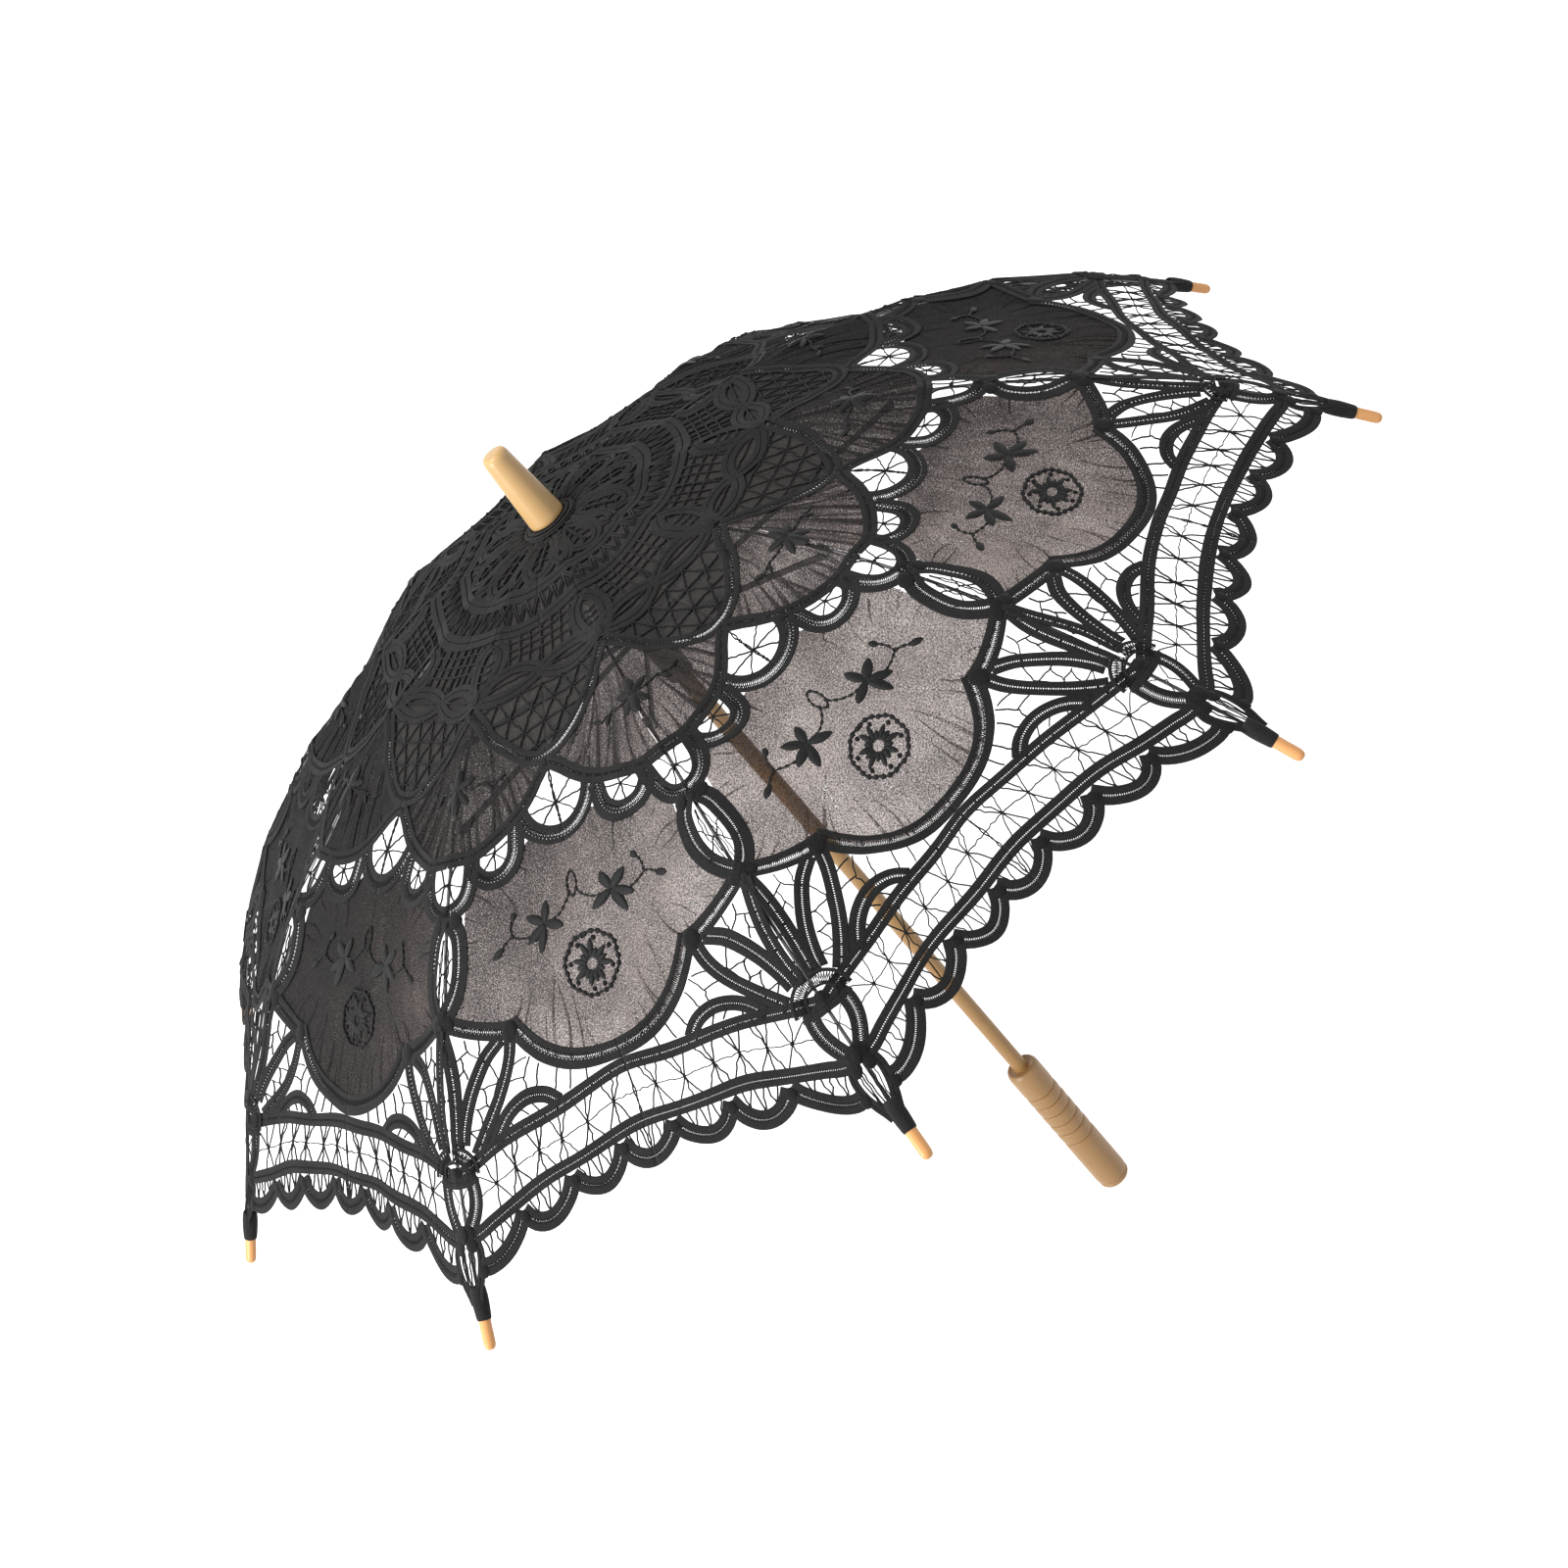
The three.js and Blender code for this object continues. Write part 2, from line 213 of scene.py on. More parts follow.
def wood(name, light, dark, roughness=0.42):
    material, tree, shader = new_material(name)
    grain = noise(tree, object_coords(tree, (1, 1, 0.06)), 420, 4)
    figure = noise(tree, object_coords(tree, (1, 1, 0.12)), 70, 2)
    mixed = node(tree, "ShaderNodeMath", {1: 0.5}, operation="MULTIPLY_ADD")
    tree.links.new(figure, mixed.inputs[0])
    tree.links.new(grain, mixed.inputs[2])
    color = ramp(tree, mixed.outputs[0], [(0.42, dark), (0.62, light), (0.95, light)])
    tree.links.new(color, shader.inputs["Base Color"])
    tree.links.new(bump(tree, grain, 0.12, 0.0002), shader.inputs["Normal"])
    set_inputs(shader, {"Roughness": roughness, "Coat Weight": 0.1, "Coat Roughness": 0.3})
    return material


def metal(name, color, roughness):
    material, tree, shader = new_material(name)
    brushed = noise(tree, object_coords(tree, (1, 1, 1)), 900, 3)
    spread = {"To Min": roughness - 0.08, "To Max": roughness + 0.12}
    rough = node(tree, "ShaderNodeMapRange", spread)
    tree.links.new(brushed, rough.inputs["Value"])
    tree.links.new(rough.outputs["Result"], shader.inputs["Roughness"])
    set_inputs(shader, {"Base Color": (*color, 1), "Metallic": 1})
    return material


def plastic(name, color):
    material, tree, shader = new_material(name)
    grain = bump(tree, noise(tree, object_coords(tree, (1, 1, 1)), 1500, 2), 0.2, 0.0001)
    tree.links.new(grain, shader.inputs["Normal"])
    set_inputs(shader, {"Base Color": (*color, 1), "Roughness": 0.45})
    return material


def yarn(name, dark, light, scale, strength, sheen=0.12, roughness=0.9):
    """Matt cotton: a fine twist in the colour and the bump."""
    material, tree, shader = new_material(name)
    coords = object_coords(tree, (1, 1, 1))
    fibres = noise(tree, coords, scale, 4, 0.7)
    patches = noise(tree, coords, 60, 2)
    mixed = node(tree, "ShaderNodeMath", {1: 0.35}, operation="MULTIPLY_ADD")
    tree.links.new(patches, mixed.inputs[0])
    tree.links.new(fibres, mixed.inputs[2])
    color = ramp(tree, mixed.outputs[0], [(0.45, dark), (0.85, light)])
    tree.links.new(color, shader.inputs["Base Color"])
    tree.links.new(bump(tree, fibres, strength, 0.0005), shader.inputs["Normal"])
    set_inputs(shader, {"Roughness": roughness, "Specular IOR Level": 0.2, "Sheen Weight": sheen})
    set_inputs(shader, {"Sheen Roughness": 0.5, "Sheen Tint": (0.5, 0.5, 0.5, 1)})
    return material


def gauze(name, light, dark, thin, thick, scale, soak, painted_shade=0.0):
    """Sheer cloth: fine uneven specks, and a body that darkens what is seen through it aslant.

    It is painted denser and darker, by its last argument, on the side of the canopy that faces the
    direction set just below this function: painted shade of that side, not a denser cloth."""
    material, tree, shader = new_material(name)
    coords = object_coords(tree, (1, 1, 1))
    specks = noise(tree, coords, scale, 2, 0.75)
    clouds = noise(tree, coords, 35, 2)
    mixed = node(tree, "ShaderNodeMath", {1: 0.14}, operation="MULTIPLY_ADD")
    tree.links.new(clouds, mixed.inputs[0])
    tree.links.new(specks, mixed.inputs[2])
    spread = {"From Min": 0.46, "From Max": 0.7, "To Min": thin, "To Max": thick}
    cover = node(tree, "ShaderNodeMapRange", spread)
    tree.links.new(mixed.outputs[0], cover.inputs["Value"])
    # Painted shade: the side of the canopy that faces the shade direction is made denser here, though
    # the cloth is the same all round.
    side = node(tree, "ShaderNodeVectorMath", {1: PAINTED_SHADE_DIRECTION}, operation="DOT_PRODUCT")
    tree.links.new(coords, side.inputs[0])
    spread = {"From Min": -0.25, "From Max": -0.05, "To Min": 0, "To Max": painted_shade}
    depth = node(tree, "ShaderNodeMapRange", spread)
    tree.links.new(side.outputs["Value"], depth.inputs["Value"])
    total = node(tree, "ShaderNodeMath", operation="ADD", use_clamp=True)
    tree.links.new(cover.outputs["Result"], total.inputs[0])
    tree.links.new(depth.outputs["Result"], total.inputs[1])
    tree.links.new(total.outputs[0], shader.inputs["Alpha"])
    # Painted shade: the colour goes from light to dark towards that shaded side of the canopy.
    color = ramp(tree, depth.outputs["Result"], [(0, light), (0.5, dark)])
    tree.links.new(color, shader.inputs["Base Color"])
    tree.links.new(bump(tree, specks, 0.5, 0.0003), shader.inputs["Normal"])
    set_inputs(shader, {"Roughness": 0.9, "Specular IOR Level": 0.12})
    body = node(tree, "ShaderNodeVolumeAbsorption", {"Color": (0.17, 0.04, 0, 1), "Density": soak})
    tree.links.new(body.outputs["Volume"], tree.nodes["Material Output"].inputs["Volume"])
    return material


# The side of the canopy where the chiffon is painted denser and darker: painted shade, not a denser
# cloth.
PAINTED_SHADE_DIRECTION = (math.cos(math.radians(52)), math.sin(math.radians(52)), 0)
HANDLE_WOOD = wood("handle_wood", (0.47, 0.26, 0.098), (0.39, 0.205, 0.07))
SHAFT_WOOD = wood("shaft_wood", (0.46, 0.25, 0.08), (0.38, 0.20, 0.056))
FERRULE_WOOD = wood("ferrule_wood", (0.74, 0.46, 0.19), (0.64, 0.37, 0.13), 0.35)
TIP_WOOD = wood("tip_wood", (0.90, 0.42, 0.135), (0.76, 0.32, 0.095))
RUNNER_WOOD = wood("runner_wood", (0.20, 0.13, 0.07), (0.15, 0.095, 0.05))
RIB_METAL = metal("rib_wire", (0.10, 0.10, 0.105), 0.42)
STEEL = metal("steel", (0.62, 0.62, 0.63), 0.3)
CROWN_PLASTIC = plastic("crown_plastic", (0.02, 0.02, 0.021))
TAPE = yarn("lace_tape", (0.006, 0.006, 0.006), (0.026, 0.025, 0.025), 1500, 0.7)
THREAD = yarn("thread", (0.003, 0.003, 0.003), (0.014, 0.0135, 0.0135), 1100, 0.4)
SILK = yarn("silk_thread", (0.003, 0.003, 0.003), (0.013, 0.014, 0.0135), 900, 0.5, 0.04, 0.5)
# The chiffon's dark colour and its last number paint shade on one side of the canopy.
CHIFFON = gauze("chiffon", (0.085, 0.079, 0.077), (0.024, 0.023, 0.023), -0.14, 0.84, 1500, 2100, 0.66)
LINING = gauze("lining", (0.05, 0.049, 0.048), (0.042, 0.041, 0.041), 0.62, 0.95, 1500, 3000)


# -------------------- curves and sections
def ghost(end, inner):
    """The point beyond a curve's end: its mirror image at the panel's middle, else straight on."""
    if abs(end[0]) < 1e-6:
        return np.array([-inner[0], inner[1]])
    return 2 * end - inner


def smooth(points, closed=False, step=2.0):
    """A curve through given points (y, s), in even short steps."""
    p = np.asarray(points, float)
    if closed:
        p = np.vstack([p[-1], p, p[0], p[1]])
    else:
        p = np.vstack([ghost(p[0], p[1]), p, ghost(p[-1], p[-2])])
    pieces = []
    for a, b, c, d in zip(p, p[1:], p[2:], p[3:]):
        count = max(2, round(float(np.linalg.norm(c - b)) / step))
        t = (np.arange(count) / count)[:, None]
        bend = (2 * a - 5 * b + 4 * c - d) * t**2 + (3 * b - a - 3 * c + d) * t**3
        pieces.append(0.5 * (2 * b + (c - a) * t + bend))
    if not closed:
        pieces.append(p[-2][None])
    return np.vstack(pieces)


def even(path, pitch, closed=False):
    """The path again, in steps of about one pitch."""
    p = np.vstack([path, path[:1]]) if closed else path
    run = np.concatenate([[0], np.cumsum(np.linalg.norm(np.diff(p, axis=0), axis=1))])
    count = max(2, round(run[-1] / pitch))
    at = np.linspace(0, run[-1], count + 1)
    if closed:
        at = at[:-1]
    return np.stack([np.interp(at, run, p[:, k]) for k in range(p.shape[1])], axis=1)


def sideways(path, closed=False):
    """The unit vector to one side of the path, at each of its points."""
    if closed:
        ahead = np.roll(path, -1, axis=0) - np.roll(path, 1, axis=0)
    else:
        ahead = np.gradient(path, axis=0)
        for end in (0, -1):  # at the panel's middle it meets its mirror image squarely
            if abs(path[end, 0]) < 1e-6 and abs(ahead[end, 0]) > abs(ahead[end, 1]):
                ahead[end, 1] = 0
    ahead = ahead / np.maximum(np.linalg.norm(ahead, axis=1), 1e-9)[:, None]
    return np.stack([ahead[:, 1], -ahead[:, 0]], axis=1)


def circle_section(radius, sides=4):
    """The outline of a thread, so thin that four sides look round."""
    angle = 2 * math.pi * (np.arange(sides) + 0.5) / sides
    return radius * np.stack([np.cos(angle), np.sin(angle)], axis=1)


BAND_THICKNESS = 0.9


def band_section(width, offset=0.0):
    """A woven edge of a tape: a flat band of cords about a millimetre wide."""
    cords = max(2, round(width / 1.1))
    w = width / 2
    rim = [(-w, 0)]
    for k in range(cords):
        rim.append((-w + width * (k + 0.5) / cords, 1))
        if k + 1 < cords:
            rim.append((-w + width * (k + 1) / cords, 0.35))
    rim += [(w, 0), (0.5 * w, -0.7), (-0.5 * w, -0.7)]
    section = np.array([(x, z * BAND_THICKNESS / 2) for x, z in reversed(rim)])
    return section + [offset, 0]


COTTON, LOOSE, SHINY = range(3)  # the lace's material slots


class Weave:
    """Swept threads and tapes in panel coordinates (y, s, height)."""

    def __init__(self):
        self.points = []
        self.faces = []
        self.materials = []
        self.count = 0

    def add(self, points, faces, material):
        self.points.append(points)
        self.faces += [[int(k) + self.count for k in face] for face in faces]
        self.materials += [material] * len(faces)
        self.count += len(points)

    def sweep(self, path, section, height, closed=False, scale=None, material=COTTON):
        path = np.asarray(path, float)
        side = sideways(path, closed)
        size = np.ones(len(path)) if scale is None else scale
        height = np.broadcast_to(np.asarray(height, float), (len(path),))
        flat = path[:, None] + side[:, None] * (section[None, :, :1] * size[:, None, None])
        up = height[:, None] + section[None, :, 1] * size[:, None]
        points = np.concatenate([flat, up[..., None]], axis=2).reshape(-1, 3)
        n, k = len(path), len(section)
        rows = n if closed else n - 1
        i, j = np.meshgrid(np.arange(rows), np.arange(k), indexing="ij")
        after, beside = (i + 1) % n, (j + 1) % k
        quads = np.stack([i * k + j, after * k + j, after * k + beside, i * k + beside], axis=2)
        faces = quads.reshape(-1, 4).tolist()
        if not closed:
            faces.append(list(range(k)))
            faces.append([(n - 1) * k + m for m in reversed(range(k))])
        self.add(points, faces, material)


TAPE_HEIGHT = 0.55
NET_RADIUS = 0.27
NET_TUCK = 0.5  # how far a net runs in under the tape's edges
LEAST_GAP = 0.6  # a tape with less between its edges has no net
BAR_RADIUS = 0.46
BAR_HEIGHT = 0.45
BAR_WANDER = 0.32
KNOT_HEIGHT = 0.6
STITCH_HEIGHT = 0.6
STITCH_STEP = 0.9
PETAL_HEIGHT = 0.7


def strands(weave, starts, ends, radius, height):
    """Short straight threads, one from each start to its end."""
    along_each = ends - starts
    length = np.maximum(np.linalg.norm(along_each, axis=1), 1e-6)[:, None]
    across = np.stack([along_each[:, 1], -along_each[:, 0]], axis=1) / length
    section = circle_section(radius)
    ends_of = np.stack([starts, ends], axis=1)
    flat = ends_of[:, :, None] + across[:, None, None] * section[None, None, :, :1]
    up = np.broadcast_to(height + section[:, 1], flat.shape[:3])
    points = np.concatenate([flat, up[..., None]], axis=3).reshape(-1, 3)
    sides = np.array([[j, 4 + j, 4 + (j + 1) % 4, (j + 1) % 4] for j in range(4)])
    caps = np.array([[0, 1, 2, 3], [7, 6, 5, 4]])
    one = np.vstack([sides, caps])
    faces = (one[None] + 8 * np.arange(len(starts))[:, None, None]).reshape(-1, 4)
    weave.add(points, faces.tolist(), LOOSE)


def net(weave, path, low, high, pitch, closed=False, radius=NET_RADIUS, height=TAPE_HEIGHT):
    """Two crossing zigzags of thread between two offsets of a path."""
    line = even(path, pitch / 2, closed)
    side = sideways(line, closed)
    for phase in (0, 1):
        turn = (np.arange(len(line)) + phase) % 2
        points = line + side * np.where(turn == 1, low, high)[:, None]
        strands(weave, points[:-1], points[1:], radius, height - 0.1 + 0.2 * phase)


def tape(
    weave, points, edges, gap, closed=False, pitch=2.2, curve=True, radius=NET_RADIUS, height=TAPE_HEIGHT
):
    """A lace tape: two woven edges with an open net between them."""
    path = smooth(points, closed) if curve else np.asarray(points, float)
    width = sum(edges) + gap
    left = -width / 2 + edges[0] / 2
    right = width / 2 - edges[1] / 2
    weave.sweep(path, band_section(edges[0], left), height, closed)
    weave.sweep(path, band_section(edges[1], right), height, closed)
    if gap > LEAST_GAP:
        low = -width / 2 + edges[0] - NET_TUCK
        high = width / 2 - edges[1] + NET_TUCK
        net(weave, path, low, high, pitch, closed, radius, height)


def bar(weave, points, radius=BAR_RADIUS, curve=False):
    """A thread between tapes, never quite straight."""
    step = 2.5
    path = smooth(points, step=step) if curve else even(np.asarray(points, float), step)
    path[1:-1] += RNG.normal(0, BAR_WANDER, size=path[1:-1].shape)
    weave.sweep(path, circle_section(radius), BAR_HEIGHT, material=LOOSE)


def spokes(weave, centre, ends, radius=BAR_RADIUS):
    """A web of threads from one knot."""
    for end in ends:
        bar(weave, [centre, end], radius)
    knot(weave, centre, 1.1)


def knot(weave, centre, size):
    """A small lump of thread, or of gathered tape."""
    y, s = centre
    path = [(y, s + size * k) for k in (-1, -0.5, 0, 0.5, 1)]
    scale = np.array([0.3, 0.85, 1, 0.85, 0.3])
    section = circle_section(1, 8) * [size, min(size, 0.8)]
    weave.sweep(path, section, KNOT_HEIGHT, scale=scale, material=LOOSE)


def petal(weave, base, tip, width):
    """A padded satin-stitch petal."""
    t = np.linspace(0, 1, 9)
    base = np.asarray(base, float)
    path = base + t[:, None] * (np.asarray(tip, float) - base)
    section = circle_section(1, 8) * [0.66 * width, 0.8]
    scale = 0.15 + 0.85 * np.sin(math.pi * t) ** 0.7
    weave.sweep(path, section, PETAL_HEIGHT, scale=scale, material=SHINY)


def stitches(weave, points, radius=0.82):
    """A line of chain stitch: a thread that swells at each stitch."""
    path = even(smooth(points), STITCH_STEP)
    scale = 0.75 + 0.35 * np.sin(np.arange(len(path)) * 1.6)
    weave.sweep(path, circle_section(radius, 5), STITCH_HEIGHT, scale=scale, material=SHINY)


def arc(radius):
    """A ring of that radius round the apex, across half a panel."""
    y = np.linspace(0, radius * math.sin(HALF), 14)
    return np.stack([y, np.sqrt(radius**2 - y**2)], axis=1)


# -------------------- outlines, in (y, s)
LOBE = [(0, 176), (8, 174.5), (17, 168), (25, 158), (31, 150), (34, 142), (41, 130)]
SCALLOP = [(0, 181.5), (7, 187), (13, 194), (20, 200.5), (30, 206)]
SCALLOP += [(42, 209.5), (52, 211), (60, 209.5), (66, 208.5)]
SIDE_TAPE = [(88, 285.5), (80, 291.5), (70, 297.5), (60, 302), (52, 304)]
BOTTOM_LOBE = [(0, 336), (15, 334.5), (28, 330), (38, 323), (44, 316), (48, 310), (53, 301)]
INNER_BORDER = [(0, 344.5), (20, 346), (40, 348), (60, 350.5), (80, 353), (95, 356), (103, 358)]
OUTER_BORDER = [(0, 371.5), (20, 372.5), (40, 374.5), (60, 377)]
OUTER_BORDER += [(80, 381.5), (95, 385.5), (103, 388), (111, 389)]
MEDALLION_TOP = [(0, 224), (10, 222.5), (18, 217), (24, 221), (32, 229), (40, 231), (48, 228)]
MEDALLION_TOP += [(54, 226), (59, 233), (64, 241), (66, 252), (70, 265), (78, 278), (86, 286)]
MEDALLION_BOTTOM = [(0, 335), (15, 333.5), (28, 329), (38, 322), (44, 315)]
MEDALLION_BOTTOM += [(50, 305), (60, 301), (70, 296), (80, 291), (86, 287)]


def along(points):
    """s as a function of y, for an outline that runs outward from the middle."""
    curve = smooth(sorted(points))
    order = np.argsort(curve[:, 0])
    return lambda y: np.interp(y, curve[order, 0], curve[order, 1])


def crown_zone(weave):
    """The lined centre: petals, rings and lattices."""
    tape(weave, [(1.6, 18), (5.4, 25), (8.6, 34), (9.4, 43), (6, 51), (0, 54.5)], (3.2, 3.4), 0.3)
    tape(weave, [by_rib(u, d) for u, d in [(24, 1.4), (32, 4), (42, 5), (52, 1.5)]], (2.6, 2.8), 0.3)
    bar(weave, [(0, 18), (0, 48)], 0.9)
    for s in (26, 33, 40, 47):
        bar(weave, [(0, s), (6, s + 3)], 0.55)
    tape(weave, arc(61.5), (4.6, 4.4), 0.3, curve=False)
    turns = np.linspace(0, 23.5, 7)
    reach = np.where(np.arange(7) % 2 == 1, 81, 66)
    for shift, radius in ((0, 0.62), (1.6, 0.5)):
        zigzag = np.stack([turns + shift, np.sqrt(reach**2 - turns**2)], axis=1)
        strands(weave, zigzag[:-1], zigzag[1:], radius, 0.4)
    tape(weave, arc(84.5), (4.4, 4.4), 0.3, curve=False)
    for s in (93.5, 99.5, 105.5):
        bar(weave, [(0, s), (float(half_width(s)) - 9, s - 1.5)], 0.6)
    for y in (0, 6.5, 13, 19.5):
        bar(weave, [(y, 88), (y + 0.8, 115)], 0.6)
    loop = [(88, 0.5), (92, 6), (99, 8.4), (106, 8.4), (114, 6.8), (121, 3.4), (126, 0.6)]
    tape(weave, [by_rib(u, d) for u, d in loop], (4.2, 4), 0.2)
    for u in (99, 104, 109):
        bar(weave, [by_rib(u, 5), by_rib(u + 3, 0)], 0.4)
    lens = [(0.5, 122), (8, 116), (19, 113.8), (30, 116.5), (38.5, 123), (30, 128), (19, 130)]
    tape(weave, lens + [(8, 127.5)], (3.9, 3.6), 0.2, closed=True)
    bar(weave, [(6, 121.5), (32, 122)], 0.6)


def lobe_zone(weave):
    """The lobe tape and the star lattice that it holds over the lining."""
    tape(weave, LOBE, (3.4, 3.1), 2.1, pitch=2, radius=0.25)
    edge = along(LOBE)
    across, down = 12.5, 11.5
    links = [(across, 0), (across / 2, down), (-across / 2, down)]
    for row in range(5):
        for column in range(-1, 4):
            y, s = (column + 0.5 * (row % 2)) * across, 133 + row * down
            for dy, ds in links:
                t = np.linspace(0, 1, 14)
                line = np.stack([y + dy * t, s + ds * t], axis=1)
                limit = np.minimum(half_width(line[:, 1]) - 3, 38)
                low = edge(np.clip(line[:, 0], 0, 41)) - 2
                inside = (line[:, 0] >= -0.01) & (line[:, 0] < limit) & (line[:, 1] < low)
                if inside.sum() > 2:
                    bar(weave, line[inside], 0.5)
            if 0 <= y < 30 and s < edge(y) - 6:
                knot(weave, (y, s), 1.2)


def crescent(weave, points):
    """A wide tape of dense net under an eyelet."""
    tape(weave, points, (2.8, 4), 3.2, pitch=1.9, radius=0.27)


def eyelets(weave):
    """The scalloped tape, its open eyelets with webs, and the crescents below them."""
    tape(weave, SCALLOP, (3.4, 3.2), 1.2)
    crescent(weave, [(0, 221.6), (8.5, 219.6), (15.5, 214), (19.5, 207), (20.5, 203)])
    spokes(weave, (0, 205), [(0, 184), (11, 196), (18, 205), (11, 214), (0, 219)])
    ring = [(51, 209), (53, 216), (52, 221), (47, 226.5), (40, 228.6), (32.5, 227)]
    crescent(weave, ring + [(26.5, 220.5), (24, 207)])
    spokes(weave, (38.5, 215.5), [(38, 208), (30, 213), (32, 222), (39, 225), (46, 221), (47, 213)])
    below = [(236.5, -1), (234, 6), (229, 11), (221, 13.6), (210, 14)]
    crescent(weave, [by_rib(u, d) for u, d in below])
    knot(weave, by_rib(240, 6), 4.4)
    spokes(weave, by_rib(221, 0.6), [by_rib(211, 5), by_rib(222, 11), by_rib(231, 5)])


def lens_ring(weave):
    """The eyelet that a rib crosses between two medallions."""
    ring = [(238, 1), (246, 7.5), (255, 10), (264, 10.8), (272, 9.6), (279, 6), (284, 2)]
    tape(weave, [by_rib(u, d) for u, d in ring], (5, 3.6), 1.5)
    for d in (1.4, 3.2):
        bar(weave, [by_rib(248, d * 0.4), by_rib(264, d), by_rib(279, d * 0.4)], 0.36, curve=True)
    bar(weave, [by_rib(257, 6), by_rib(264, 0)], 0.4)
    bar(weave, [by_rib(271, 6), by_rib(264, 0)], 0.4)
    knot(weave, by_rib(285, 1.5), 3.4)


def medallion_edge(weave):
    tape(weave, SIDE_TAPE, (3.8, 3.2), 2.6, pitch=2, radius=0.26)
    tape(weave, BOTTOM_LOBE, (4.2, 2.8), 2.9, pitch=2, radius=0.25)
    knot(weave, (54.5, 304.5), 5.2)
    knot(weave, (84, 288), 4.4)


def leaves(weave):
    """The leaves that spring from the medallion's corners, the half ring and the threads between."""
    tape(weave, [(55, 306), (59, 317), (66, 328.5), (75, 339), (90, 352.5)], (3.2, 3.4), 1)
    outer_leaf = [(61, 305.5), (71, 311), (79, 319), (86, 328), (92, 338), (95.5, 345.5)]
    tape(weave, outer_leaf, (3.4, 3.4), 1.1)
    beside_rib = [(88.5, 290), (89.5, 304), (91.5, 318), (94.5, 331), (98, 342), (99, 347)]
    tape(weave, beside_rib, (3.4, 3), 0.9)
    half_ring = [(38, 346), (44, 340.5), (53, 338.2), (62, 340), (70, 344.5), (78, 352)]
    tape(weave, half_ring, (3, 3.2), 1.5, radius=0.3)
    threads = [
        [(28, 335), (31, 343)], [(34, 331), (39, 341)], [(43, 326), (48, 336)],
        [(47, 321), (53, 329), (53, 335)], [(53, 329), (61, 328)], [(49, 320.5), (57, 321)],
        [(20, 337), (21, 343)], [(71, 314), (68, 324), (72, 331)], [(68, 326), (79, 325)],
        [(78, 325), (76, 335), (74, 336)], [(76, 335), (84, 333)], [(83, 333), (81, 343), (81, 350)],
        [(81, 343), (91, 341)], [(72, 301), (75, 309), (73, 313)], [(79, 299), (80, 305), (76, 310)],
        [(80, 305), (88, 308)], [(84, 307), (84, 318)], [(84, 313), (90, 317)],
        [(50, 346), (53, 341)], [(56, 346), (60, 342)], [(66, 350), (67, 345)],
        [(84, 352), (90, 340)],
    ]
    for thread in threads:
        bar(weave, thread)
    for u in (305, 318, 331):
        bar(weave, [by_rib(u, 6), by_rib(u + 5, 0)], 0.32)
        bar(weave, [by_rib(u + 10, 7), by_rib(u + 5, 0)], 0.32)
    bar(weave, [by_rib(292, 1.2), by_rib(345, 1.2)], 0.3)


def border_band(weave):
    """The two border tapes and the star threads between them."""
    tape(weave, INNER_BORDER, (3.1, 3.3), 0.7)
    tape(weave, OUTER_BORDER, (3.1, 3.5), 0.7)
    top, bottom = along(INNER_BORDER), along(OUTER_BORDER)
    stars = [(-12, 358), (12, 358), (28, 360), (44, 361.5), (58, 363), (73, 366), (86, 369)]
    for (y, s), (y2, s2) in zip(stars, stars[1:]):
        if y > 0:
            for up, down in ((-8.5, -7.5), (-3.5, 0.8), (4, 8)):
                bar(weave, [(y, s), (y + up, float(top(y + up)))], 0.44)
                bar(weave, [(y, s), (y + down, float(bottom(y + down)))], 0.44)
            knot(weave, (y, s), 0.9)
        bar(weave, [(max(y, 0), s), (y2, s2)], 0.38)
    bar(weave, [(0, float(top(0))), (0, float(bottom(0)))], 0.4)
    bar(weave, [(86, 369), (97, 372)], 0.4)
    spokes(weave, (86, 369), [(80, 355), (89, 357), (95, 362), (80, 380), (90, 382)], 0.4)


def rib_flower(weave):
    """The ring flower, the loop and the thread-filled point at each rib."""
    dome = [(358, 10.2), (352.5, 9.2), (348.8, 5.5), (347.6, 0)]
    tape(weave, [by_rib(u, d) for u, d in dome], (1.4, 2), 5.2, pitch=2, radius=0.27, height=1.4)
    knot(weave, by_rib(356.5, 0.5), 3.2)
    tape(weave, [by_rib(361, -1), by_rib(360.5, 5), by_rib(358, 11)], (3.4, 3.4), 0)
    loop = [(360, 8), (366, 8.6), (372, 8.2), (378, 6.4), (384, 3.4), (389, 1.5)]
    tape(weave, [by_rib(u, d) for u, d in loop], (2.6, 2.8), 2.4, pitch=1.9, radius=0.29)
    knot(weave, by_rib(386, 1.5), 5)
    knot(weave, by_rib(391, 3.2), 3.6)
    bar(weave, [by_rib(364, 5), by_rib(371, 0)], 0.3)
    bar(weave, [by_rib(378, 4), by_rib(371, 0)], 0.3)


SCALLOP_NOTCHES = [(-15, 377.5), (15, 377.5), (46, 381), (77, 386.5), (109, 403)]
SCALLOP_DEPTHS = [11.6, 11.6, 11.2, 6.5]


